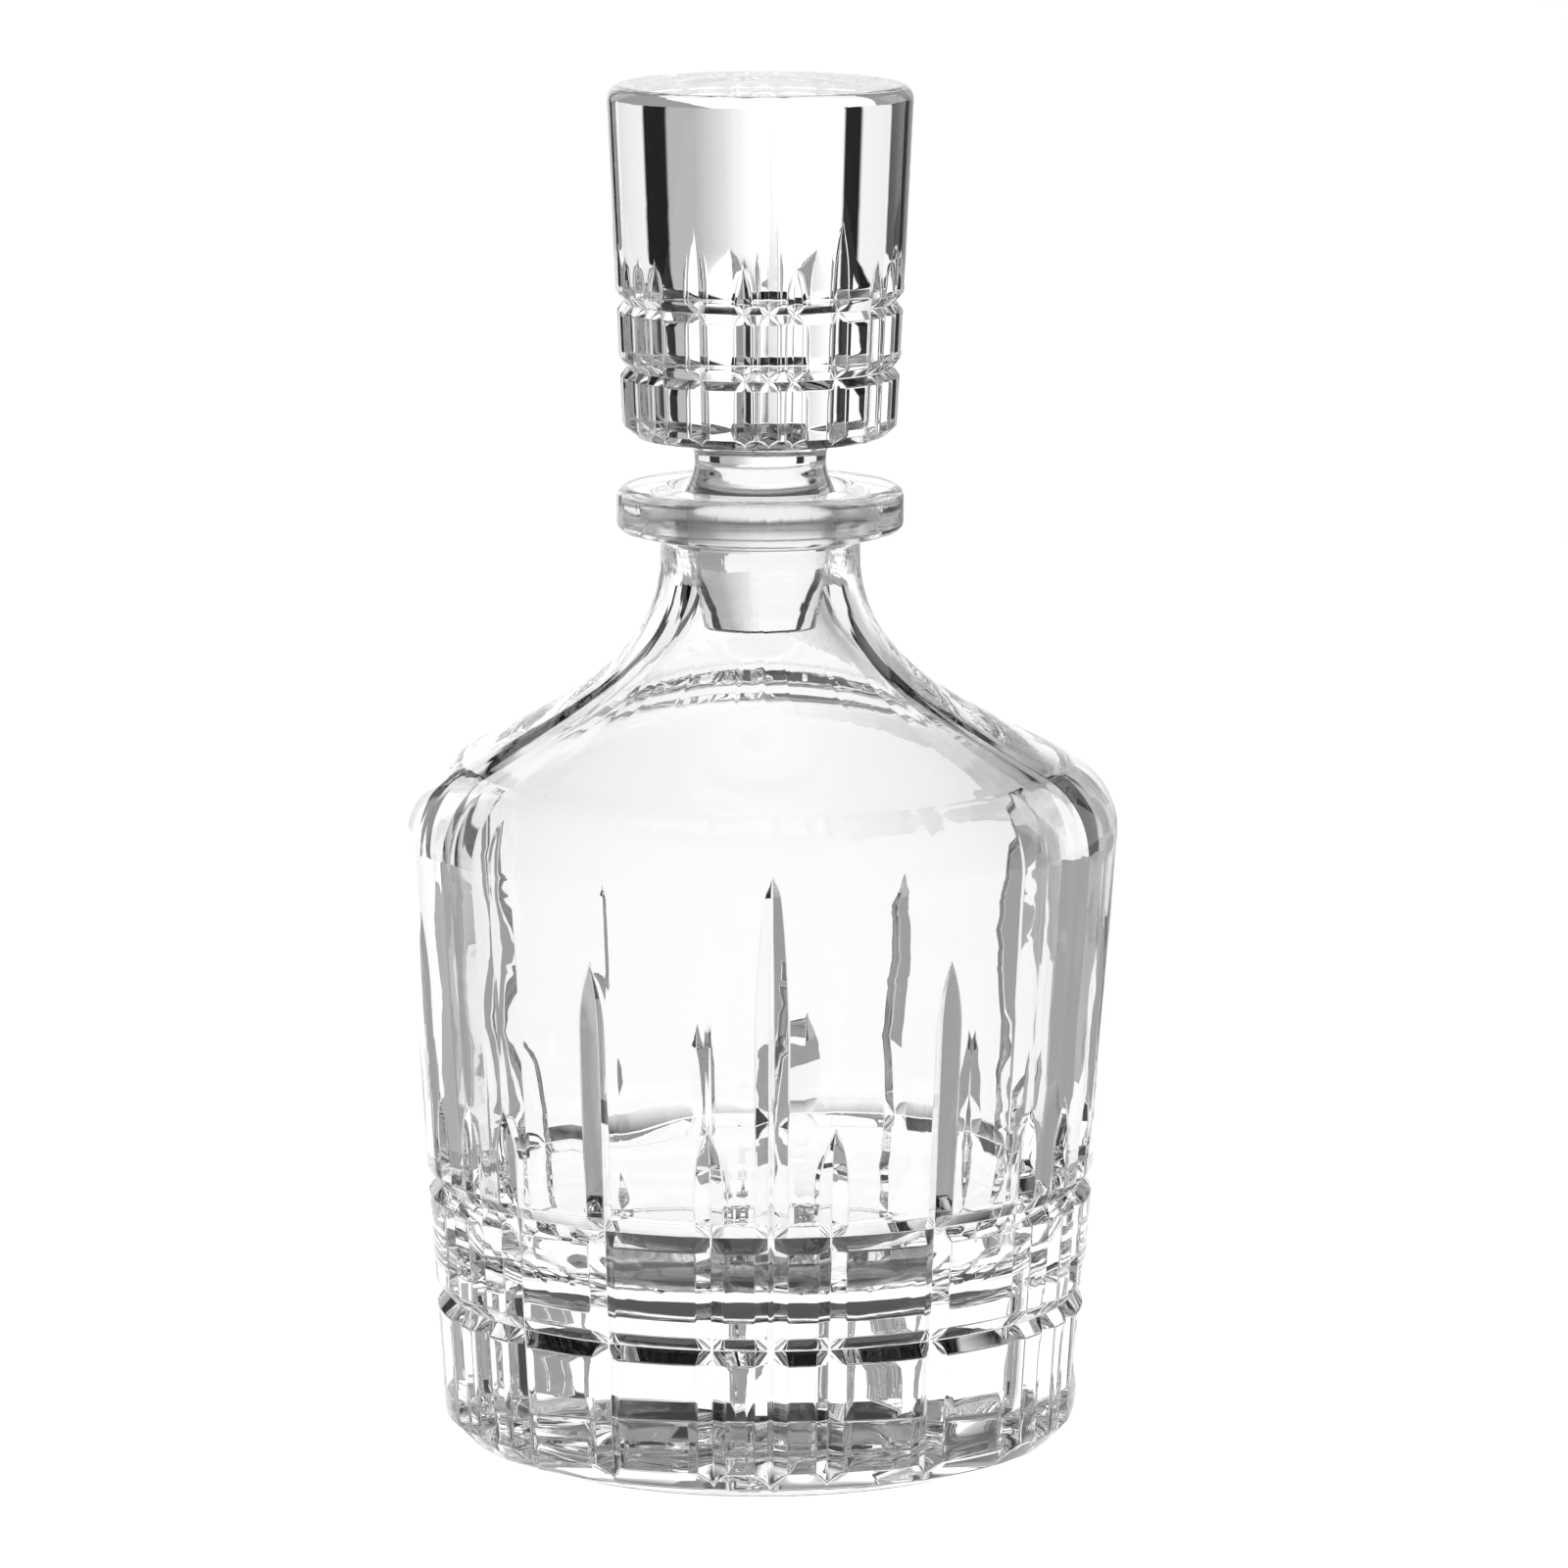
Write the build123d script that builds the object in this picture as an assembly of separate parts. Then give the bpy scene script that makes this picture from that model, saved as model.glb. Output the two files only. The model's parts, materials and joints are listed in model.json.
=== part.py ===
from build123d import *
import math
import os

# Cut crystal decanter with a lift-out glass stopper, sizes in millimetres.
# The origin is the middle of the foot, +Z is up and -Y is the front.

# ---- bottle, outside ----
foot_radius = 42.0            # flat ring the bottle stands on
hollow_radius = 31.0          # shallow ground hollow under the foot
hollow_depth = 1.2
heel_radius = 49.4            # lower bevel of the heel ends here
heel_height = 2.4
chamfer_top = 6.2             # upper bevel of the heel meets the side here
side_radius = 52.6            # radius of the side line carried down to the table
side_lean = 0.070             # outward lean of the side, mm per mm of height
shoulder_height = 111.5       # where the side line and the shoulder slope would meet
shoulder_round = 13.2
shoulder_slope = 30.0         # degrees above level
slope_pull = 15.3             # how long the shoulder keeps its slope before the sweep up
neck_pull = 20.0              # how long the neck keeps upright below its straight part
neck_radius = 16.7
neck_rise = 39.0              # from the shoulder up to where its sweep turns upright
neck_straight = 4.0
lip_thick = 7.8
lip_radius = 23.9
lip_round = 1.9
throat_round = 1.6            # small round between neck and lip

# ---- bottle, inside ----
floor_height = 29.0           # thickness of the solid foot
floor_round = 15.0
side_wall = 8.8
shoulder_wall = 7.6           # thickness across the shoulder slope
inner_round = 9.0
inner_pull = 14.0
bore_length = 14.7            # ground bore, down from the top of the lip
bore_lean = 0.205             # widening of the ground bore, mm per mm of height
plug_fit = 0.05               # gap all round between plug and bore
mouth_round = 2.2

# ---- stopper ----
plug_depth = 24.3             # the plug's end hangs this far below the top of the lip
plug_length = 19.6
plug_bottom_radius = 9.05
plug_edge = 0.9
shank_radius = 10.95
shank_rise = 8.6              # from the top of the plug to the narrowest place of the shank
head_gap = 8.3                # from the top of the lip to the underside of the head
head_bottom_radius = 22.75
head_bevel = 2.0
head_height = 58.4
head_top_radius = 25.55
head_round = 2.4
stopper_turn = 1.8            # the head sits turned this much from the bottle's pattern

# ---- cuts: one wheel shape for every groove ----
groove_half_angle = 50.0      # half of the opening angle of the groove
ring_heights = (45.7, 26.65)  # two level grooves round the bottle
ring_depth = 1.93
tall_tip_drop = 4.7           # the tall grooves end this far below the shoulder's corner
middle_tip, short_tip = 90.7, 63.8
tall_depth, middle_depth, short_depth = 2.4, 2.0, 2.05
tall_run, tall_run_radius, tall_wheel = 25.0, 270.0, 14.0
middle_wheel, short_wheel = 36.0, 23.0

head_ring_rises = (22.5, 11.5)                # heights above the underside of the head
head_ring_depth = 1.26
head_tall_tip_drop = 3.5                      # below the top of the head
head_middle_rise, head_short_rise = 37.4, 30.7
head_tall_depth, head_middle_depth, head_short_depth = 1.3, 1.3, 1.15
head_tall_wheel, head_middle_wheel, head_short_wheel = 270.0, 48.0, 28.0

# ---- level divisions of the bottle ----
wall_above_floor = 9.0
shoulder_below_corner = 4.0
neck_below_bend = 14.5

side_step = 10.5              # a short groove stands this many degrees beside each main one

os.makedirs("parts", exist_ok=True)


def at(radius, height):
    return Vector(radius, 0, height)


def rounded(corners):
    """Lines through (radius, height, round) corners, each corner rounded by its third value."""
    edges = []
    start = at(*corners[0][:2])
    for before, corner, after in zip(corners, corners[1:], corners[2:]):
        middle = at(*corner[:2])
        back = (at(*before[:2]) - middle).normalized()
        ahead = (at(*after[:2]) - middle).normalized()
        if corner[2] > 0:
            half = math.radians(back.get_angle(ahead)) / 2
            reach = corner[2] / math.tan(half)
            centre = middle + (back + ahead).normalized() * (corner[2] / math.sin(half))
            top = centre + (middle - centre).normalized() * corner[2]
            edges.append(Line(start, middle + back * reach))
            edges.append(ThreePointArc(middle + back * reach, top, middle + ahead * reach))
            start = middle + ahead * reach
        else:
            edges.append(Line(start, middle))
            start = middle
    edges.append(Line(start, at(*corners[-1][:2])))
    return edges


def round_reach(round_radius, lean, slope):
    """Length a corner round takes from the slope it runs into."""
    turn = math.radians(90 - slope) + math.atan(lean)
    return round_radius * math.tan(turn / 2)


def groove(foot, lean, tip, depth, wheel, run=0.0, run_radius=1.0, spare=2.0):
    """V groove up a leaning side: straight, then an optional long easy run, then the wheel's own
    round carries the cut out through the surface at the tip."""
    along = at(lean, 1).normalized()
    out = at(1, -lean).normalized()
    base = at(foot, 0)

    def spot(distance, below):
        return base + along * distance - out * below

    run_angle = math.asin(run / run_radius)
    run_rise = run_radius * (1 - math.cos(run_angle))
    leave = math.acos(math.cos(run_angle) - (depth - run_rise) / wheel)
    tip_distance = tip / along.Z
    wheel_start = tip_distance - wheel * (math.sin(leave) - math.sin(run_angle))
    run_start = wheel_start - run
    path = [Line(spot(-spare * 3, depth), spot(run_start, depth))]
    if run > 0:
        half = run_angle / 2
        path.append(ThreePointArc(
            spot(run_start, depth),
            spot(run_start + run_radius * math.sin(half), depth - run_radius * (1 - math.cos(half))),
            spot(wheel_start, depth - run_rise)))

    def on_wheel(angle):
        return spot(wheel_start + wheel * (math.sin(angle) - math.sin(run_angle)),
                    depth - run_rise - wheel * (math.cos(run_angle) - math.cos(angle)))

    finish = math.acos(math.cos(leave) - spare / 2 / wheel)
    path.append(ThreePointArc(on_wheel(run_angle), on_wheel((run_angle + finish) / 2),
                              on_wheel(finish)))
    height = depth + spare
    spread = Vector(0, 1, 0) * (height * math.tan(math.radians(groove_half_angle)))
    apex = spot(-spare * 3, depth)
    section = make_face(Polyline(apex, apex + out * height + spread, apex + out * height - spread,
                                 apex, close=False))
    return sweep(section, path=Wire(path))


def ring(foot, lean, height, depth, spare=1.5):
    """Level V groove round a leaning side."""
    along = at(lean, 1).normalized()
    out = at(1, -lean).normalized()
    apex = at(foot + lean * height, height) - out * depth
    tall = depth + spare
    spread = along * (tall * math.tan(math.radians(groove_half_angle)))
    section = make_face(Polyline(apex, apex + out * tall + spread, apex + out * tall - spread,
                                 apex, close=False))
    return revolve(section, axis=Axis.Z)


def pattern(tall, middle, short, turn=0.0):
    """The whole cut pattern: it repeats three times, tall groove to the front."""
    cuts = []
    for repeat in range(3):
        start = -90 + turn + 120 * repeat
        places = [(tall, 0), (short, -side_step), (short, side_step),
                  (middle, -30), (middle, 30),
                  (short, 60), (short, 60 - side_step), (short, 60 + side_step)]
        cuts += [Rot(0, 0, start + angle) * tool for tool, angle in places]
    return cuts


# ---- bottle ----
def side_at(height):
    return side_radius + side_lean * height


neck_height = shoulder_height + neck_rise
lip_bottom = neck_height + neck_straight
lip_top = lip_bottom + lip_thick
bore_end_height = lip_top - bore_length
plug_bottom = lip_top - plug_depth
plug_top = plug_bottom + plug_length
shank_height = plug_top + shank_rise
head_bottom = lip_top + head_gap
head_top = head_bottom + head_height

slope = at(-math.cos(math.radians(shoulder_slope)), math.sin(math.radians(shoulder_slope)))
slope_start = round_reach(shoulder_round, side_lean, shoulder_slope) + 0.4
corner = at(side_at(shoulder_height), shoulder_height)
outer_bend = corner + slope * slope_start
neck_foot = at(neck_radius, neck_height)
outer_sweep = Bezier(outer_bend, outer_bend + slope * slope_pull,
                     neck_foot - Vector(0, 0, neck_pull), neck_foot)

outside = rounded([
    (hollow_radius, 0, 0), (foot_radius, 0, 0), (heel_radius, heel_height, 0),
    (side_at(chamfer_top), chamfer_top, 0), (corner.X, corner.Z, shoulder_round),
    (outer_bend.X, outer_bend.Z, 0)])


def plug_radius_at(height):
    return plug_bottom_radius + bore_lean * (height - plug_bottom)


bore_end_radius = plug_radius_at(bore_end_height) + plug_fit
mouth_radius = plug_radius_at(lip_top) + plug_fit
lip = rounded([
    (neck_foot.X, neck_foot.Z, 0), (neck_radius, lip_bottom, throat_round),
    (lip_radius, lip_bottom, lip_round), (lip_radius, lip_top, lip_round),
    (mouth_radius, lip_top, mouth_round), (bore_end_radius, bore_end_height, 0)])

inner_side = side_radius - side_wall
inner_drop = shoulder_wall / math.cos(math.radians(shoulder_slope)) \
    - side_wall * math.tan(math.radians(shoulder_slope))
inner_corner_height = shoulder_height - inner_drop
inner_corner = at(inner_side + side_lean * inner_corner_height, inner_corner_height)
inner_bend = inner_corner + slope * (round_reach(inner_round, side_lean, shoulder_slope) + 0.4)
bore_end = at(bore_end_radius, bore_end_height)
inner_sweep = Bezier(bore_end, bore_end - Vector(0, 0, inner_pull),
                     inner_bend + slope * inner_pull, inner_bend)
inside = rounded([
    (inner_bend.X, inner_bend.Z, 0), (inner_corner.X, inner_corner.Z, inner_round),
    (inner_side + side_lean * floor_height, floor_height, floor_round), (0, floor_height, 0)])

bowl = (hollow_radius ** 2 + hollow_depth ** 2) / (2 * hollow_depth)
halfway = hollow_radius / 2
bowl_rise = math.sqrt(bowl ** 2 - halfway ** 2) - (bowl - hollow_depth)
foot_hollow = ThreePointArc(at(0, hollow_depth), at(halfway, bowl_rise), at(hollow_radius, 0))
core = Line(at(0, floor_height), at(0, hollow_depth))

glass = make_face([foot_hollow] + outside + [outer_sweep] + lip + [inner_sweep] + inside + [core])
bottle = revolve(glass, axis=Axis.Z)

tall_cut = groove(side_radius, side_lean, shoulder_height - tall_tip_drop, tall_depth,
                  tall_wheel, tall_run, tall_run_radius)
middle_cut = groove(side_radius, side_lean, middle_tip, middle_depth, middle_wheel)
short_cut = groove(side_radius, side_lean, short_tip, short_depth, short_wheel)
rings = [ring(side_radius, side_lean, height, ring_depth) for height in ring_heights]
bottle = bottle - rings - pattern(tall_cut, middle_cut, short_cut)

# The bottle is one piece of glass. It is divided level into simple solids that meet face to face,
# because each of them then collides true to its shape and the hollow stays open.
divisions = [
    ("bottle_foot", 0),
    ("bottle_wall", floor_height + wall_above_floor),
    ("bottle_shoulder", shoulder_height - shoulder_below_corner),
    ("bottle_neck", neck_height - neck_below_bend),
    ("bottle_lip", lip_bottom),
]
tops = [low for name, low in divisions[1:]] + [lip_top + 1]
for (name, low), high in zip(divisions, tops):
    slab = Pos(0, 0, (low + high) / 2) * Cylinder(corner.X + 5, high - low)
    export_step(bottle & slab, f"parts/{name}.step")

# ---- stopper ----
head_lean = (head_top_radius - head_bottom_radius) / (head_top - head_bottom)
head_foot = head_bottom_radius - head_lean * head_bottom
plug_top_radius = plug_radius_at(plug_top)
waist = at(shank_radius, shank_height)
shank_low = Bezier(at(plug_top_radius, plug_top), at(plug_radius_at(plug_top + 3.2), plug_top + 3.2),
                   waist - Vector(0, 0, 3.4), waist)
shank_high = Bezier(waist, waist + Vector(0, 0, 2.6),
                    at(shank_radius + 0.8, head_bottom), at(shank_radius + 3.4, head_bottom))
plug_line = rounded([
    (0, plug_bottom, 0), (plug_bottom_radius, plug_bottom, plug_edge),
    (plug_top_radius, plug_top, 0)])
head_line = rounded([
    (shank_radius + 3.4, head_bottom, 0), (head_bottom_radius - head_bevel, head_bottom, 0),
    (head_foot + head_lean * (head_bottom + head_bevel), head_bottom + head_bevel, 0),
    (head_top_radius, head_top, head_round), (0, head_top, 0)])
stem = Line(at(0, head_top), at(0, plug_bottom))
stopper = revolve(make_face(plug_line + [shank_low, shank_high] + head_line + [stem]),
                  axis=Axis.Z)

head_tall_cut = groove(head_foot, head_lean, head_top - head_tall_tip_drop, head_tall_depth,
                       head_tall_wheel, spare=0.8)
head_middle_cut = groove(head_foot, head_lean, head_bottom + head_middle_rise,
                         head_middle_depth, head_middle_wheel, spare=0.8)
head_short_cut = groove(head_foot, head_lean, head_bottom + head_short_rise, head_short_depth,
                        head_short_wheel, spare=0.8)
head_rings = [ring(head_foot, head_lean, head_bottom + rise, head_ring_depth)
              for rise in head_ring_rises]
stopper = stopper - head_rings - pattern(head_tall_cut, head_middle_cut, head_short_cut,
                                         stopper_turn)
export_step(stopper, "parts/stopper.step")
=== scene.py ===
import bpy
import numpy as np
from math import radians, degrees, sin, cos, tan, asin, acos, atan2, hypot, pi
import json
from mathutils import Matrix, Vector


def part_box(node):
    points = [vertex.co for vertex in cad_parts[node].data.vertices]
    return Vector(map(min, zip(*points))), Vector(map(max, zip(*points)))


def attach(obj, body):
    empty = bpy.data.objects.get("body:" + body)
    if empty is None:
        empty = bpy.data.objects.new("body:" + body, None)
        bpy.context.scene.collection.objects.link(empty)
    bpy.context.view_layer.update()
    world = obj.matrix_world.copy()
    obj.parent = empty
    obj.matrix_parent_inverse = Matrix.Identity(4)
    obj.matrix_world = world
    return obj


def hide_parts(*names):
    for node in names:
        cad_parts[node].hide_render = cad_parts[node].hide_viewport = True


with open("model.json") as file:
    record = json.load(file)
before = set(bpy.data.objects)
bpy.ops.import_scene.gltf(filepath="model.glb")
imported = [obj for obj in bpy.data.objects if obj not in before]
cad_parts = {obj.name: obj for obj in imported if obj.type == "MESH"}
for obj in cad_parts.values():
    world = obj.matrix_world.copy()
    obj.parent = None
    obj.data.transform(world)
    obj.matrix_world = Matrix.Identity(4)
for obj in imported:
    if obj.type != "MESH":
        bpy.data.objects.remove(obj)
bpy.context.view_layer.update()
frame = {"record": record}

MM = 0.001

# ---------------------------------------------------------------- sizes
bottle_nodes = frame["record"]["behaviour"]["bodies"]["bottle"]
bottle_boxes = np.array([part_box(node) for node in bottle_nodes]) / MM
bottle_high = bottle_boxes[:, 1].max(axis=0)
stopper_low, stopper_high = (np.array(corner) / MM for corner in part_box("stopper"))

# Lengths from here to the studio are in millimetres and angles in degrees.

foot_radius = 42.0
hollow_radius = 31.0
hollow_depth = 1.2
foot_edge = (0.15, 0.12, 0.04)      # inward, outward and upward reach of the foot's edge
heel_radius = 49.4
heel_height = 2.4
chamfer_top = 6.2
polish = 0.03                # holds the outside in, so that it stays inside the CAD box
side_radius = 52.6 - polish
side_lean = 0.070
shoulder_height = 111.5
shoulder_round = 13.2
shoulder_slope = 30.0
slope_pull = 15.3
neck_pull = 20.0
neck_radius = 16.7
neck_height = 150.5
lip_thick = 7.8
lip_top = bottle_high[2]
lip_bottom = lip_top - lip_thick
lip_radius = 23.9
lip_round = 1.9
throat_round = 1.6
floor_height = 29.0
floor_round = 15.0
side_wall = 8.8
shoulder_wall = 7.6
inner_round = 9.0
inner_pull = 14.0
bore_end_height = 147.6
bore_lean = 0.205
plug_fit = 0.05
mouth_round = 2.2
ground_radius = 14.5         # the faint matt finish inside the lip ends at this radius
round_gap = 0.4              # short straight between a rounding and the sweep after it
wave_drop = 6.0              # the inner waves start this far under the bore
wave_fade = 20.0             # grow over this height
wave_full_radius = 40.0      # and would reach full size at this radius

plug_bottom = stopper_low[2]
plug_bottom_radius = 9.05
plug_top = 157.6
plug_edge = 0.9
shank_radius = 10.95
shank_height = 166.2
plug_pull = 3.2
waist_pull_low = 3.4
waist_pull_high = 2.6
under_head_pull = 0.8
under_head_reach = 3.4
head_bottom = 170.6
head_bottom_radius = 22.75
head_bevel = 2.0
head_top = stopper_high[2]
head_top_radius = 25.55
head_round = 2.4
stopper_turn = 1.8

groove_half_angle = 50.0
side_step = 10.5
edge_bevel = 0.2             # the cut edges are eased by about this much
bevel_share = 0.3            # and by no more than this share of a cut's half width
ring_foot_reach = 0.13       # rows of a level cut nearest its bottom, on each side of it
ring_foot_rise = 0.1         # and how far over the bottom the lowest flank points lie
spare_depth = 0.05           # every cut's points leave room for this much over a ring's depth
least_half_width = 0.35      # half width of a cut's columns where the cut has run out
least_half_share = 0.006     # the same, as a share of the radius, near the axis
cut_angle = 6.0              # angle that a cut takes from the land beside it
land_step = 1.9              # angle between the columns of the land
glass_index = 1.53

SLOPE = np.array([-cos(radians(shoulder_slope)), sin(radians(shoulder_slope))])
FLANK = 1 / tan(radians(groove_half_angle))


# ---------------------------------------------------------------- profiles
def line(start, end, count):
    """Evenly spaced points from start up to, and without, the end: start plus a share of the
    difference, where the share runs from 0 to 1."""
    share = np.linspace(0, 1, count, endpoint=False)[:, None]
    return np.array(start, float) + share * (np.array(end, float) - np.array(start, float))


def corner_round(before, corner, after, radius, count):
    """Points on the circle of the given radius that touches both lines of a corner: the centre lies
    on the corner's bisector at the radius over the sine of half its angle, and the points sweep
    from one touching point to the other."""
    before, corner, after = (np.array(p, float) for p in (before, corner, after))
    back = (before - corner) / np.linalg.norm(before - corner)
    ahead = (after - corner) / np.linalg.norm(after - corner)
    half = acos(np.clip(back @ ahead, -1, 1)) / 2
    centre = corner + (back + ahead) / np.linalg.norm(back + ahead) * radius / sin(half)
    first = corner + back * radius / tan(half) - centre
    last = corner + ahead * radius / tan(half) - centre
    turn = acos(np.clip(first @ last / radius ** 2, -1, 1))
    share = np.linspace(0, 1, count)[:, None]
    return centre + (np.sin((1 - share) * turn) * first + np.sin(share * turn) * last) / sin(turn)


def sweep(first, pull_first, pull_last, last, count):
    """Points on the cubic Bezier curve through four control points: the sum of the points, each
    times its Bernstein share."""
    share = np.linspace(0, 1, count)[:, None]
    points = [np.array(p, float) for p in (first, pull_first, pull_last, last)]
    return ((1 - share) ** 3 * points[0] + 3 * (1 - share) ** 2 * share * points[1]
            + 3 * (1 - share) * share ** 2 * points[2] + share ** 3 * points[3])


def round_reach(radius, lean):
    """Length that a corner round takes from the shoulder slope: the radius times the tangent of
    half the turn from the leaning side to the slope."""
    return radius * tan((radians(90 - shoulder_slope) + atan2(lean, 1)) / 2)


# ---------------------------------------------------------------- cuts
class Groove:
    """One vertical V cut: how deep its bottom lies under the leaning side at every height."""

    def __init__(self, angle, tip, depth, wheel, run=0.0, run_radius=1.0):
        self.angle, self.tip, self.depth = angle, tip, depth
        self.wheel, self.run, self.run_radius = wheel, run, run_radius

    def depth_at(self, height):
        """Full depth low down, then less the sagitta of the long easy run's circle, then less the
        wheel's own circle up to the tip, and below nothing above it."""
        easy = asin(self.run / self.run_radius)
        rise = self.run_radius * (1 - cos(easy))
        leave = acos(cos(easy) - (self.depth - rise) / self.wheel)
        wheel_start = self.tip - self.wheel * (sin(leave) - sin(easy))
        run_start = wheel_start - self.run
        on_run = np.clip(height - run_start, 0, max(self.run, 1e-9))
        depth = self.depth - (self.run_radius - np.sqrt(self.run_radius ** 2 - on_run ** 2))
        on_wheel = np.clip(height - wheel_start, 0, None)
        side = np.clip(sin(easy) + on_wheel / self.wheel, None, 0.98)
        return depth - self.wheel * (cos(easy) - np.sqrt(1 - side ** 2))


def pattern(tall, middle, short, turn):
    """The cuts round the piece in order of angle: the pattern repeats three times, with a tall cut
    to the front, short ones a step to each side of it and of the triple's middle, and a middle cut
    between each two triples."""
    cuts = []
    for repeat in range(3):
        start = -90 + turn + 120 * repeat
        places = [(tall, 0), (short, -side_step), (short, side_step),
                  (middle, -30), (middle, 30),
                  (short, 60), (short, 60 - side_step), (short, 60 + side_step)]
        cuts += [Groove(start + angle, *kind) for kind, angle in places]
    return sorted(cuts, key=lambda cut: cut.angle)


def ring_depth_at(height, rings, depth):
    """Depth of the level V cuts: the full depth less the distance to the nearest ring's middle
    over the tangent of the wheel's half angle, and never under nothing."""
    reach = np.min([np.abs(height - ring) for ring in rings], axis=0)
    return np.clip(depth - reach * FLANK, 0, None)


def ring_rows(ring, depth):
    """Heights of the rows that a level V cut needs: two on each side at its eased edges, and three
    at its bottom."""
    half = depth / FLANK
    reach = np.array([half + edge_bevel, half - edge_bevel, ring_foot_reach])
    return np.concatenate([ring - reach, [ring], ring + reach[::-1]])


def cut_grid(radius, height, cuts, lean_foot, lean, rings, ring_depth):
    """Radius and angle of every point of the cut outside, rows by columns.

    Each cut owns nine columns: the eased edge, the two levels of the ring cuts' bottom, the cut's
    own bottom, and the same again. At every row the sideways place of the edge solves the
    quadratic where the flank, which climbs from the bottom by the flank slope, meets the round
    outside. Points between lie on the flank. The columns between two cuts divide the angle
    between their edges evenly. The ring cuts then hold the radius down to the profile less their
    depth, so the lower of the two surfaces is kept at every point."""
    rows = len(radius)
    ring_now = ring_depth_at(height, rings, ring_depth)
    levels = np.array([ring_depth - ring_foot_rise, ring_depth])
    angle_columns, radius_columns, edges = [], [], []
    for cut in cuts:
        bottom = lean_foot + lean * height - cut.depth_at(height)
        deep = radius - bottom
        live = np.clip(deep, 0, None)
        edge = radius * (np.sqrt(FLANK ** 2 + 2 * live / np.maximum(radius, 1e-6)) - FLANK)
        small = np.minimum(least_half_width, least_half_share * radius)
        edge_wide = np.maximum(edge, small)
        bevel = np.minimum(edge_bevel, bevel_share * edge_wide)
        full = max(cut.depth, ring_depth + spare_depth)
        inner = [edge_wide * (1 - level / full) for level in levels]
        half_side = [edge_wide + bevel, edge_wide - bevel, inner[0], inner[1]]
        offsets = np.array([-s for s in half_side] + [np.zeros(rows)] + half_side[::-1])
        on_flank = bottom + np.abs(offsets) * FLANK
        round_outside = np.sqrt(np.maximum(radius ** 2 - offsets ** 2, 0))
        depth_way = np.where(deep > 0, np.minimum(on_flank, round_outside), round_outside)
        angle_columns.append(radians(cut.angle) + np.arctan2(offsets, np.maximum(depth_way, 1e-6)))
        radius_columns.append(np.hypot(offsets, depth_way))
        edges.append((angle_columns[-1][0], angle_columns[-1][-1]))
    all_angles, all_radii = [], []
    for index, cut in enumerate(cuts):
        all_angles.append(angle_columns[index])
        all_radii.append(radius_columns[index])
        after = (index + 1) % len(cuts)
        start = edges[index][1]
        end = edges[after][0] + (2 * pi if after == 0 else 0)
        between = cuts[after].angle - cut.angle + (360 if after == 0 else 0)
        count = max(2, int(round((between - cut_angle) / land_step)))
        share = (np.arange(1, count + 1) / (count + 1))[:, None]
        all_angles.append(start + share * (end - start))
        all_radii.append(np.broadcast_to(radius, (count, rows)))
    angle = np.concatenate(all_angles).T
    kept = np.minimum(np.concatenate(all_radii).T, (radius - ring_now)[:, None])
    return kept, angle


# ---------------------------------------------------------------- meshes
def closed_surface(name, radius, height, angle):
    """A closed surface from rows of radius, height and angle. The first and the last row are single
    points on the axis, and the last column joins the first. Each four-sided cell is split along
    the diagonal whose two ends lie further out, so that two crossing cuts meet in a clean mitre.
    The normal of a point is the sum of the cross products of the edges of the triangles round it,
    so that broad faces stay flat beside narrow ones."""
    rows, columns = radius.shape
    x, y = radius * np.cos(angle), radius * np.sin(angle)
    grid = np.stack([x, y, height], axis=-1)
    points = np.concatenate([[[0, 0, height[0, 0]]], grid[1:-1].reshape(-1, 3),
                             [[0, 0, height[-1, 0]]]]) * MM
    index = 1 + np.arange((rows - 2) * columns).reshape(rows - 2, columns)
    a, d = index[:-1], index[1:]
    b, c = np.roll(a, -1, axis=1), np.roll(d, -1, axis=1)
    r_a, r_d = radius[1:-2], radius[2:-1]
    r_b, r_c = np.roll(r_a, -1, axis=1), np.roll(r_d, -1, axis=1)
    straight = (r_a + r_c >= r_b + r_d - 1e-9)[..., None]
    one = np.where(straight, np.stack([a, b, c], -1), np.stack([a, b, d], -1))
    two = np.where(straight, np.stack([a, c, d], -1), np.stack([b, c, d], -1))
    first = np.stack([np.zeros(columns, int), np.roll(index[0], -1), index[0]], -1)
    end = len(points) - 1
    last = np.stack([np.full(columns, end), index[-1], np.roll(index[-1], -1)], -1)
    triangles = np.concatenate([one.reshape(-1, 3), two.reshape(-1, 3), first, last])
    sides = [points[triangles[:, k]] for k in range(3)]
    push = np.cross(sides[1] - sides[0], sides[2] - sides[0])
    normals = np.zeros_like(points)
    for k in range(3):
        np.add.at(normals, triangles[:, k], push)
    normals /= np.maximum(np.linalg.norm(normals, axis=1, keepdims=True), 1e-20)
    mesh = bpy.data.meshes.new(name)
    mesh.vertices.add(len(points))
    mesh.vertices.foreach_set("co", points.astype(np.float32).ravel())
    mesh.loops.add(len(triangles) * 3)
    mesh.loops.foreach_set("vertex_index", triangles.astype(np.int32).ravel())
    mesh.polygons.add(len(triangles))
    mesh.polygons.foreach_set("loop_start", np.arange(0, len(triangles) * 3, 3, dtype=np.int32))
    mesh.update(calc_edges=True)
    mesh.polygons.foreach_set("use_smooth", np.ones(len(triangles), bool))
    mesh.normals_split_custom_set_from_vertices(normals.astype(np.float32).tolist())
    mesh.validate()
    piece = bpy.data.objects.new(name, mesh)
    bpy.context.scene.collection.objects.link(piece)
    return piece


def heights_between(*stretches):
    """Sorted heights made of evenly divided stretches, each given as its low end, its high end and
    a spacing."""
    parts = [np.arange(low, high, step) for low, high, step in stretches]
    return np.unique(np.round(np.concatenate(parts), 4))


# ---------------------------------------------------------------- bottle
ring_heights = (45.7, 26.65)
ring_depth = 1.93
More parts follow.
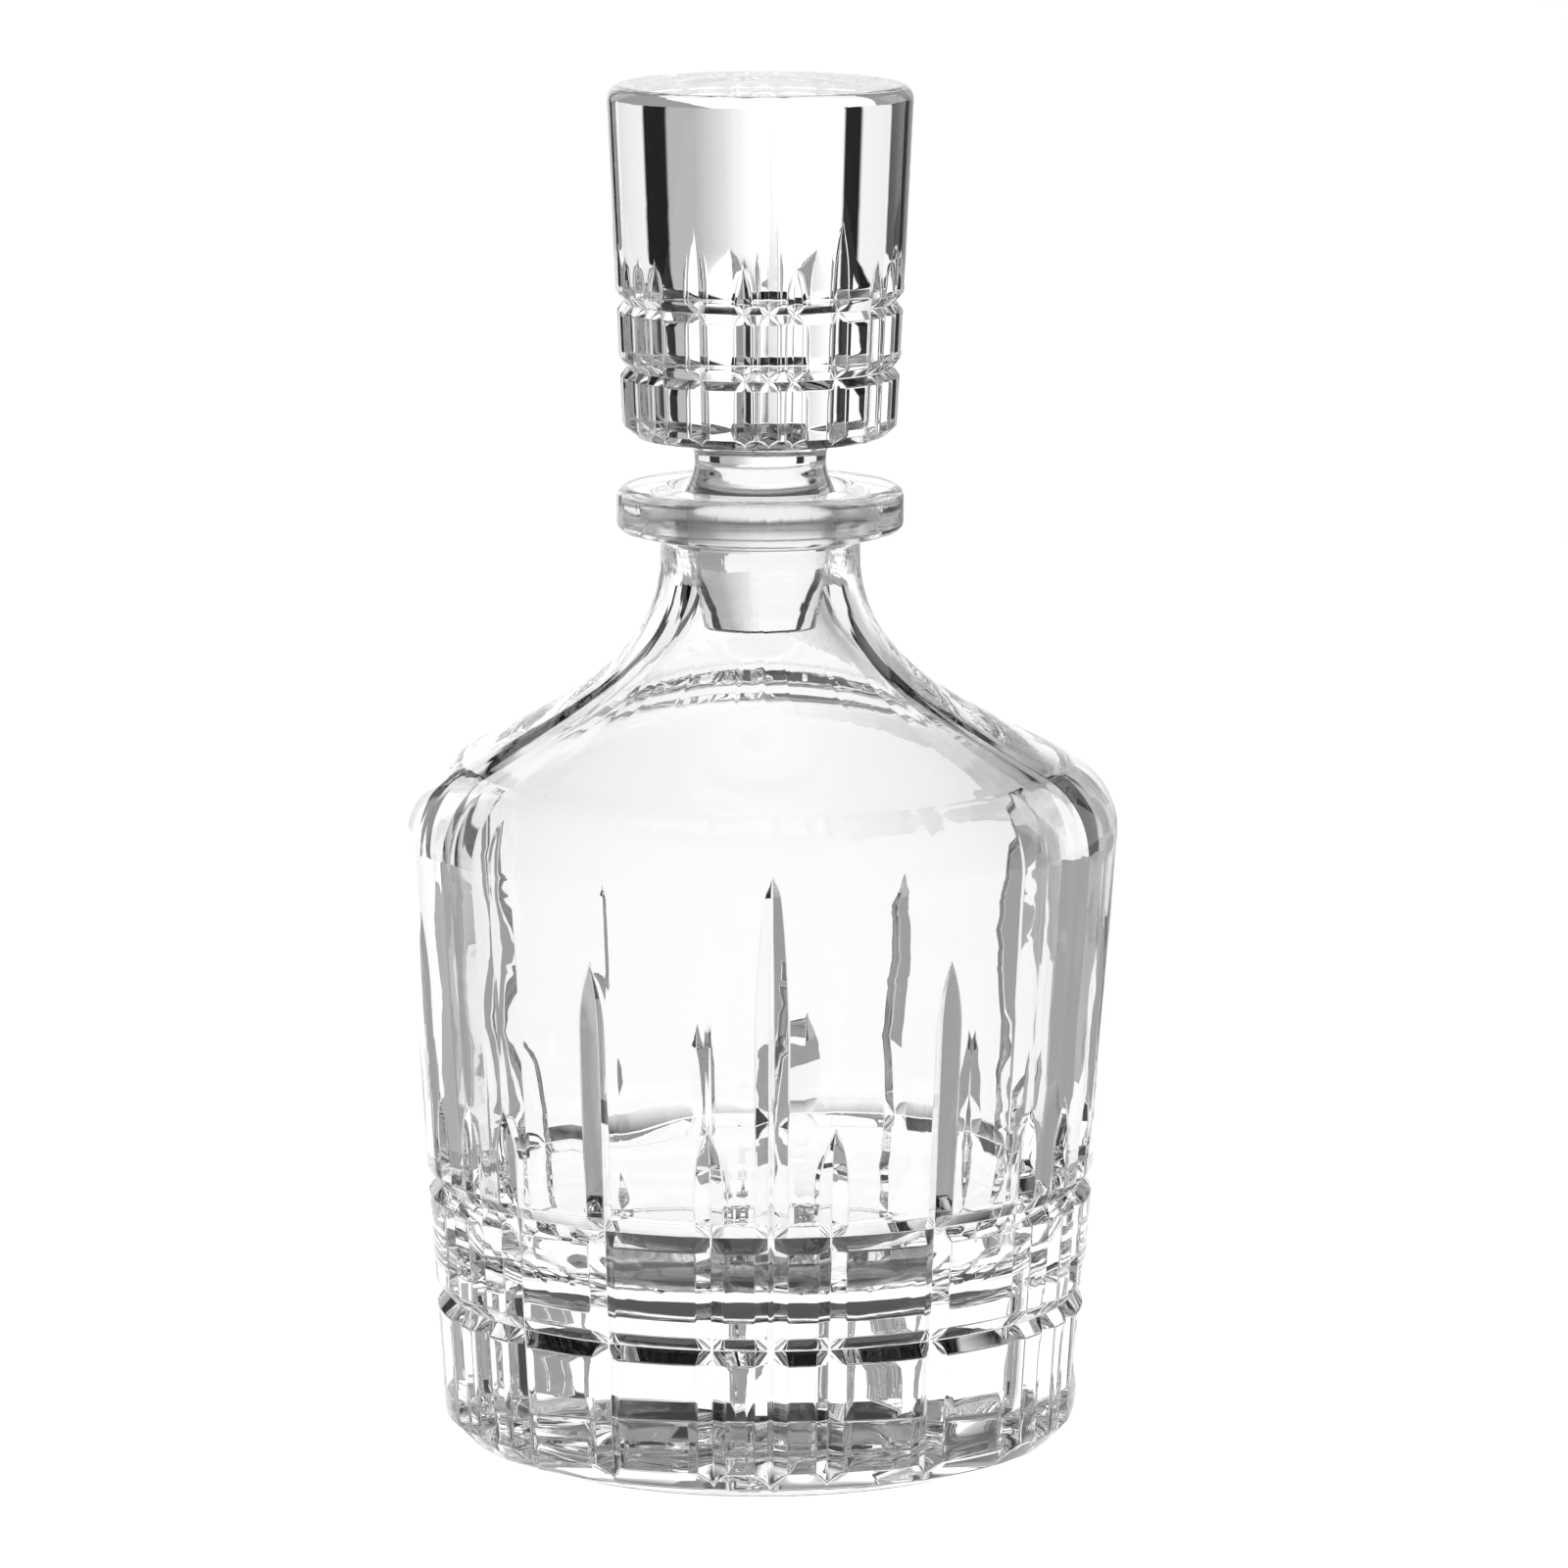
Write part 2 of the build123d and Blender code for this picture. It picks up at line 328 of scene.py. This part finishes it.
# Each upright cut: the height of its tip, its depth and the wheel's radius. The tall one also has
# the length and the radius of its long easy run.
tall, middle, short = ((106.8, 2.4, 14.0, 25.0, 270.0), (90.7, 2.0, 36.0), (63.8, 2.05, 23.0))


def side_at(height):
    """Radius of the leaning side: its radius at the ground plus its lean times the height."""
    return side_radius + side_lean * height


def bottle_surface():
    """Goes once round the section of the glass from the middle of the underside: out over the foot
    and up the cut outside, over the lip, down the bore and the inside, and in to the middle of the
    floor. The inside is a blown surface, so its radius swells and shrinks a little in slow waves
    that fade out at the bore and at the floor's middle."""
    corner = np.array([side_at(shoulder_height), shoulder_height])
    reach = round_reach(shoulder_round, side_lean)
    bend = corner + SLOPE * (reach + round_gap)
    side_top = shoulder_height - reach / hypot(1, side_lean)
    bowl = (hollow_radius ** 2 + hollow_depth ** 2) / (2 * hollow_depth)
    across = np.linspace(0, hollow_radius, 8)
    under = np.stack([across, np.sqrt(bowl ** 2 - across ** 2) - (bowl - hollow_depth)], 1)
    heel = (heel_radius, heel_height)
    chamfer_end = (side_at(chamfer_top), chamfer_top)
    edge_low = (foot_radius - foot_edge[0], 0)
    edge_high = (foot_radius + foot_edge[1], foot_edge[2])
    foot = np.concatenate([
        under, line((hollow_radius + 0.2, 0), edge_low, 3), [edge_low, edge_high],
        line(edge_high, heel, 5)[1:],
        line(heel, chamfer_end, 7)])
    flat = ring_depth / FLANK + edge_bevel
    low, high = ring_heights[1], ring_heights[0]
    # Rows lie wide apart on plain stretches and close together round the tips of the cuts.
    rows_up_side = heights_between(
        (chamfer_top, low - flat - 0.6, 2.4), (low + flat + 0.6, high - flat - 0.6, 2.4),
        (high + flat + 0.8, 53, 1.6), (53.2, 61.5, 0.9), (61.6, 64.4, 0.45),
        (65.2, 77, 2.0), (77.5, 88.5, 1.1), (88.7, 91.4, 0.45), (92, 100, 1.3),
        (100.3, side_top - 0.2, 0.6))
    levels = np.unique(np.concatenate([
        rows_up_side, ring_rows(low, ring_depth), ring_rows(high, ring_depth)]))
    side = np.stack([side_at(levels), levels], 1)
    shoulder = corner_round((side_at(0), 0), corner, corner + SLOPE * 40, shoulder_round, 19)
    neck_foot = np.array([neck_radius, neck_height])
    up = np.array([0, 1.0])
    swept = sweep(bend, bend + SLOPE * slope_pull, neck_foot - up * neck_pull, neck_foot, 34)

    def bore_at(height):
        """Radius of the tapered bore: that of the plug at this height plus the gap."""
        return plug_bottom_radius + bore_lean * (height - plug_bottom) + plug_fit

    bore_end = (bore_at(bore_end_height), bore_end_height)
    mouth = (bore_at(lip_top), lip_top)
    under_lip, lip_low, lip_high = ((neck_radius, lip_bottom), (lip_radius, lip_bottom),
                                    (lip_radius, lip_top))
    lip = np.concatenate([
        corner_round(neck_foot, under_lip, lip_low, throat_round, 7),
        corner_round(under_lip, lip_low, lip_high, lip_round, 9),
        corner_round(lip_low, lip_high, mouth, lip_round, 9),
        corner_round(lip_high, mouth, bore_end, mouth_round, 9)])
    bore = line(lip[-1], bore_end, 8)[1:]
    wall_drop = shoulder_wall / cos(radians(shoulder_slope)) \
        - side_wall * tan(radians(shoulder_slope))
    inner_height = shoulder_height - wall_drop
    inner_foot = side_radius - side_wall
    inner_corner = np.array([inner_foot + side_lean * inner_height, inner_height])
    inner_bend = inner_corner + SLOPE * (round_reach(inner_round, side_lean) + round_gap)
    inner_sweep = sweep(bore_end, bore_end - up * inner_pull, inner_bend + SLOPE * inner_pull,
                        inner_bend, 30)
    floor_corner = np.array([inner_foot + side_lean * floor_height, floor_height])
    inner_shoulder = corner_round(inner_bend, inner_corner, floor_corner, inner_round, 10)
    floor_turn = corner_round(inner_corner, floor_corner, (0, floor_height), floor_round, 14)
    inner_side = line(inner_shoulder[-1], floor_turn[0], 30)[1:]
    floor = line(floor_turn[-1], (0, floor_height), 7)[1:]
    inside = np.concatenate([inner_sweep, inner_shoulder, inner_side, floor_turn, floor,
                             [(0, floor_height)]])

    outline = np.concatenate([foot, side, shoulder, swept])
    radius, angle = cut_grid(outline[:, 0], outline[:, 1], pattern(tall, middle, short, 0),
                             side_radius, side_lean, ring_heights, ring_depth)
    height = np.broadcast_to(outline[:, 1:2], radius.shape)
    rest = np.concatenate([lip, bore, inside])
    rest_angle = np.broadcast_to(angle[-1], (len(rest), angle.shape[1]))
    rest_radius = np.broadcast_to(rest[:, :1], rest_angle.shape).copy()
    rest_height = np.broadcast_to(rest[:, 1:2], rest_angle.shape)
    blown = np.zeros(len(rest), bool)
    blown[-len(inside):] = True
    fade = np.where(blown, np.clip((bore_end_height - wave_drop - rest[:, 1]) / wave_fade, 0, 1)
                    * np.clip(rest[:, 0] / wave_full_radius, 0, 1) ** 2, 0)[:, None]
    # Each wave: its size, how often it goes round, where it starts and how it turns on the way up.
    wave = (0.25 * np.sin(2 * rest_angle + 0.5 + 0.02 * rest_height)
            + 0.12 * np.sin(5 * rest_angle + 1.2 - 0.06 * rest_height)
            + 0.07 * np.sin(0.30 * rest_height + 2 * np.sin(rest_angle + 0.8))
            + 0.03 * np.sin(9 * rest_angle + 0.25 * rest_height))
    rest_radius += fade * wave
    return closed_surface("crystal_bottle", np.concatenate([radius, rest_radius]),
                          np.concatenate([height, rest_height]),
                          np.concatenate([angle, rest_angle]))


# ---------------------------------------------------------------- stopper
head_ring_heights = (193.1, 182.1)
head_ring_depth = 1.26
# Each upright cut of the head: the height of its tip, its depth and the wheel's radius.
head_tall, head_middle, head_short = ((225.5, 1.3, 270.0), (208.0, 1.3, 48.0),
                                      (201.3, 1.15, 28.0))


def stopper_surface():
    """Goes once along the outline of the stopper from the middle of the plug's end: out to the
    tapered plug, in through the shank's double curve, out under the head, up its cut side and in
    to the middle of the top."""
    lean = (head_top_radius - head_bottom_radius) / (head_top - head_bottom)
    head_foot = head_bottom_radius - lean * head_bottom

    def plug_at(height):
        """Radius of the tapered plug: its radius at its end plus the lean times the rise."""
        return plug_bottom_radius + bore_lean * (height - plug_bottom)

    plug_high = (plug_at(plug_top), plug_top)
    plug_low = (plug_bottom_radius, plug_bottom)
    end_round = corner_round((0, plug_bottom), plug_low, plug_high, plug_edge, 7)
    waist = np.array([shank_radius, shank_height])
    up = np.array([0, 1.0])
    pull_height = plug_top + plug_pull
    shank_low = sweep(plug_high, (plug_at(pull_height), pull_height),
                      waist - up * waist_pull_low, waist, 14)
    shank_high = sweep(waist, waist + up * waist_pull_high,
                       (shank_radius + under_head_pull, head_bottom),
                       (shank_radius + under_head_reach, head_bottom), 12)[1:]
    bevel_low = (head_bottom_radius - head_bevel, head_bottom)
    bevel_high = (head_foot + lean * (head_bottom + head_bevel), head_bottom + head_bevel)
    top_round = corner_round((head_foot, 0), (head_top_radius, head_top), (0, head_top),
                             head_round, 12)
    low, high = head_ring_heights[1], head_ring_heights[0]
    flat = head_ring_depth / FLANK + edge_bevel
    rows_up_head = heights_between(
        (bevel_high[1], low - flat - 0.5, 1.6), (low + flat + 0.5, high - flat - 0.5, 1.6),
        (high + flat + 0.4, 199.5, 0.8), (199.7, 201.8, 0.35), (202.2, 206.5, 0.8),
        (206.7, 208.5, 0.35), (209.2, top_round[0][1] - 0.4, 1.3))
    levels = np.unique(np.concatenate([
        rows_up_head, ring_rows(low, head_ring_depth), ring_rows(high, head_ring_depth)]))
    side = np.stack([head_foot + lean * levels, levels], 1)
    outline = np.concatenate([
        line((0, plug_bottom), end_round[0], 4), end_round,
        line(end_round[-1], plug_high, 9)[1:], shank_low, shank_high,
        line(shank_high[-1], bevel_low, 4)[1:], line(bevel_low, bevel_high, 5), side,
        top_round, line(top_round[-1], (0, head_top), 7)[1:], [(0, head_top)]])
    head = outline[:, 1] > head_bottom - 1e-6
    radius, angle = cut_grid(outline[:, 0], outline[:, 1],
                             pattern(head_tall, head_middle, head_short, stopper_turn),
                             head_foot, lean, head_ring_heights, head_ring_depth)
    first = np.argmax(head)
    radius = np.where(head[:, None], radius, outline[:, :1])
    angle = np.where(head[:, None], angle, angle[first])
    height = np.broadcast_to(outline[:, 1:2], radius.shape)
    return closed_surface("crystal_stopper", radius, height, angle)


# ---------------------------------------------------------------- materials
class Val:
    """A shader socket with ordinary arithmetic: each operation adds its Math node."""

    def __init__(self, socket):
        self.socket = socket

    def math(self, operation, *others, clamp=False):
        """One Math node, with this socket first and then the others, each a number or a link."""
        tree = self.socket.id_data
        node = tree.nodes.new("ShaderNodeMath")
        node.operation, node.use_clamp = operation, clamp
        for place, value in enumerate((self,) + others):
            if isinstance(value, Val):
                tree.links.new(value.socket, node.inputs[place])
            else:
                node.inputs[place].default_value = value
        return Val(node.outputs[0])

    def __add__(self, other):
        return self.math("ADD", other)

    def __sub__(self, other):
        return self.math("SUBTRACT", other)

    def __rsub__(self, other):
        return self.math("MULTIPLY_ADD", -1.0, other)

    def __mul__(self, other):
        return self.math("MULTIPLY", other)

    __radd__ = __add__
    __rmul__ = __mul__


class Shader:
    """A node tree, with one method that makes any node."""

    def __init__(self, tree):
        self.tree = tree
        tree.nodes.clear()

    def node(self, kind, settings=None, inputs=None, output=0):
        """Makes a node, sets its settings first and then its inputs by name or number, each a
        plain value or a link, and gives back one of its outputs."""
        node = self.tree.nodes.new(kind)
        for key, value in (settings or {}).items():
            setattr(node, key, value)
        for key, value in (inputs or {}).items():
            if isinstance(value, Val):
                self.tree.links.new(value.socket, node.inputs[key])
            else:
                node.inputs[key].default_value = value
        return Val(node.outputs[output]) if node.outputs else None


def new_material(name):
    """A named material and the shader that fills it."""
    material = bpy.data.materials.new(name)
    material.use_nodes = True
    return material, Shader(material.node_tree)


def step_up(value, edge, soft):
    """Nothing below the edge and one above it, easing over the given softness."""
    return ((value - (edge - soft / 2)) * (1.0 / soft)).math("ADD", 0.0, clamp=True)


def band(value, low, high, soft):
    """One between low and high, and nothing outside."""
    return step_up(value, low, soft) * (1.0 - step_up(value, high, soft))


MIX_SHARE, MIX_FIRST, MIX_SECOND, MIX_COLOUR = 0, 6, 7, 2      # sockets of a colour Mix node
cool_glass = (0.975, 0.981, 0.984, 1)
clear_glass = (0.994, 0.995, 0.995, 1)
wipe_start, wipe_roughness = 0.62, 0.06
streak_roughness = 0.36


def crystal(name, ripple_size, ripple_depth, ground_low, ground_high, ground_radius):
    """Clear crystal, polished after cutting. Slow noise mixes two almost white glass colours, as
    the melt is never quite even, and a slow ripple of the given size and depth in metres is left
    in the polish. Fine wipe marks raise the roughness a little in spots. Between the ground
    heights and inside the ground radius, also in metres, the joint is faintly matt, in level
    streaks round the axis from noise on a place squeezed hard along Z."""
    material, shader = new_material(name)
    place = shader.node("ShaderNodeTexCoord", output="Object")
    melt = shader.node("ShaderNodeTexNoise", inputs={"Vector": place, "Scale": 24.0,
                                                     "Detail": 2.0}, output="Fac")
    colour = shader.node("ShaderNodeMix", {"data_type": "RGBA"},
                         {MIX_SHARE: melt, MIX_FIRST: cool_glass, MIX_SECOND: clear_glass},
                         MIX_COLOUR)
    stretched = shader.node("ShaderNodeVectorMath", {"operation": "MULTIPLY"},
                            {0: place, 1: (1.0, 1.0, 0.35)})
    ripple = shader.node("ShaderNodeTexNoise", inputs={"Vector": stretched,
                                                       "Scale": 1.0 / ripple_size,
                                                       "Detail": 1.0}, output="Fac")
    normal = shader.node("ShaderNodeBump", inputs={"Strength": 1.0, "Distance": ripple_depth,
                                                   "Height": ripple})
    marks = shader.node("ShaderNodeTexNoise", inputs={"Vector": stretched, "Scale": 900.0,
                                                      "Detail": 3.0}, output="Fac")
    wiped = (marks - wipe_start).math("MULTIPLY", wipe_roughness, clamp=True)
    x, y, z = (shader.node("ShaderNodeSeparateXYZ", inputs={0: place}, output=axis)
               for axis in range(3))
    radius = (x * x + y * y).math("SQRT")
    ground = band(z, ground_low, ground_high, 0.0006) \
        * (1.0 - step_up(radius, ground_radius, 0.0004))
    level = shader.node("ShaderNodeVectorMath", {"operation": "MULTIPLY"},
                        {0: place, 1: (50.0, 50.0, 2600.0)})
    streaks = shader.node("ShaderNodeTexNoise", inputs={"Vector": level, "Scale": 1.0,
                                                        "Detail": 2.0}, output="Fac")
    surface = shader.node("ShaderNodeBsdfPrincipled", inputs={
        "Base Color": colour, "Roughness": wiped + ground * (streak_roughness * streaks),
        "Normal": normal, "IOR": glass_index, "Transmission Weight": 1.0})
    shader.node("ShaderNodeOutputMaterial", inputs={"Surface": surface})
    return material


def plain(name, colour, roughness, glow):
    """A plain studio surface that also gives a little light of its own."""
    material, shader = new_material(name)
    surface = shader.node("ShaderNodeBsdfPrincipled", inputs={
        "Base Color": colour, "Roughness": roughness, "Emission Color": colour,
        "Emission Strength": glow})
    shader.node("ShaderNodeOutputMaterial", inputs={"Surface": surface})
    return material


bottle = bottle_surface()
bottle.data.materials.append(crystal(
    "bottle_crystal_look", 0.016, 0.00001, lip_bottom * MM, (lip_top - mouth_round) * MM,
    ground_radius * MM))
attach(bottle, "bottle")
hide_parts(*bottle_nodes)

stopper = stopper_surface()
stopper.data.materials.append(crystal(
    "stopper_crystal_look", 0.02, 0.000004, lip_bottom * MM, plug_top * MM, ground_radius * MM))
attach(stopper, "stopper")
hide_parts("stopper")


# ---------------------------------------------------------------- studio
def card(name, corners, material):
    """A flat studio card through the given corners."""
    mesh = bpy.data.meshes.new(name)
    mesh.from_pydata([tuple(map(float, corner)) for corner in corners], [],
                     [tuple(range(len(corners)))])
    mesh.materials.append(material)
    item = bpy.data.objects.new(name, mesh)
    bpy.context.scene.collection.objects.link(item)
    return item


# A pale floor carries a white sheet, which spreads to the left behind the bottle. Under the foot
# lies a small dark disc, hidden from view, that is painted shade: seen through the glass, it
# darkens the floor where the bottle's shadow would fall. Lengths from here on are in metres.
floor_level, sheet_level, shade_disc_level = -0.0006, -0.0004, -0.0002
floor_reach = 1.1
sheet_left, sheet_right, sheet_front, sheet_bend, sheet_back = -0.142, 0.168, -0.16, 0.18, 1.1
sheet_back_left, sheet_back_right = -0.80, 0.29
shade_disc_corners = 64
shade_disc_radius = (foot_radius - 0.5) * MM
card("floor", [(-floor_reach, -floor_reach, floor_level), (floor_reach, -floor_reach, floor_level),
               (floor_reach, floor_reach, floor_level), (-floor_reach, floor_reach, floor_level)],
     plain("pale_floor", (0.6, 0.6, 0.6, 1), 0.8, 0.45))
card("sheet", [(sheet_left, sheet_front, sheet_level), (sheet_right, sheet_front, sheet_level),
               (sheet_right, sheet_bend, sheet_level), (sheet_back_right, sheet_back, sheet_level),
               (sheet_back_left, sheet_back, sheet_level), (sheet_left, sheet_bend, sheet_level)],
     plain("white_sheet", (0.4, 0.4, 0.4, 1), 0.8, 2.65))
# Painted shade: the dark disc under the foot stands in for the shadow beneath the bottle.
round_shade_disc = np.linspace(0, 2 * pi, shade_disc_corners, endpoint=False)
card("painted_shade_disc", np.stack([shade_disc_radius * np.cos(round_shade_disc), shade_disc_radius * np.sin(round_shade_disc),
                      np.full(shade_disc_corners, shade_disc_level)], 1),
     plain("dark_painted_shade", (0.04, 0.04, 0.04, 1), 0.9, 1.0))

# Directions of the light in degrees: azimuths from straight behind, growing to the right, and
# heights over level. Each soft value is the angle over which an edge fades.
wall_left, wall_right, wall_top, wall_soft, wall_top_soft = -22.4, 30.0, 17.0, 1.2, 6.0
wall_light, wall_loss, wall_loss_azimuth, wall_loss_soft = 1.16, 0.66, 11.0, 18.0
left_strip, left_heights = (-47.0, -29.6), (-34.0, 34.0)
right_strip, right_heights = (41.2, 67.0), (-10.0, 34.0)
strip_soft, strip_end_soft = 1.5, 4.0
overhead_start, overhead_soft, overhead_light = 66.0, 14.0, 0.15
front_start, front_heights, front_light = 120.0, (-40.0, 50.0), 0.3
front_soft, front_end_soft = 50.0, 20.0
least_light = 0.004


def light_round():
    """A white wall straight behind, dimmer to the right, upright white strips beside it with dark
    gaps between, a soft light overhead, a faint one from the front and near darkness elsewhere."""
    world = bpy.data.worlds.new("studio")
    world.use_nodes = True
    bpy.context.scene.world = world
    studio = Shader(world.node_tree)
    way = studio.node("ShaderNodeTexCoord", output="Generated")
    x, y, z = (studio.node("ShaderNodeSeparateXYZ", inputs={0: way}, output=axis)
               for axis in range(3))
    azimuth = x.math("ARCTAN2", y) * degrees(1)
    height = z.math("ARCSINE") * degrees(1)
    wall = band(azimuth, wall_left, wall_right, wall_soft) \
        * (1.0 - step_up(height, wall_top, wall_top_soft))
    wall = wall * (wall_light - wall_loss * step_up(azimuth, wall_loss_azimuth, wall_loss_soft))
    left = band(azimuth, *left_strip, strip_soft) * band(height, *left_heights, strip_end_soft)
    right = band(azimuth, *right_strip, strip_soft) * band(height, *right_heights, strip_end_soft)
    top = step_up(height, overhead_start, overhead_soft) * overhead_light
    front = step_up(azimuth.math("ABSOLUTE"), front_start, front_soft) \
        * band(height, *front_heights, front_end_soft) * front_light
    light = wall + left + right + top + front + least_light
    glow = studio.node("ShaderNodeBackground", inputs={"Color": (1, 1, 1, 1),
                                                        "Strength": light})
    studio.node("ShaderNodeOutputWorld", inputs={"Surface": glow})


light_round()
scene = bpy.context.scene

# ---------------------------------------------------------------- camera
viewpoint_turn, viewpoint_reach, viewpoint_height, aim_height = -1.9, 1.70, 0.3867, 0.1119
camera_data = bpy.data.cameras.new("camera")
camera = bpy.data.objects.new("camera", camera_data)
scene.collection.objects.link(camera)
turn = radians(viewpoint_turn)
camera.location = (viewpoint_reach * sin(turn), -viewpoint_reach * cos(turn), viewpoint_height)
camera.rotation_euler = (pi / 2 - atan2(viewpoint_height - aim_height, viewpoint_reach), 0, turn)
camera_data.lens = 237.0
camera_data.sensor_width = 36.0
camera_data.shift_x = 0.0152
camera_data.clip_start = 0.1
scene.camera = camera
scene.view_settings.view_transform = "Standard"
scene.cycles.max_bounces = 40
scene.cycles.transmission_bounces = 36
scene.cycles.glossy_bounces = 20
scene.cycles.transparent_max_bounces = 16
scene.cycles.sample_clamp_indirect = 6.0
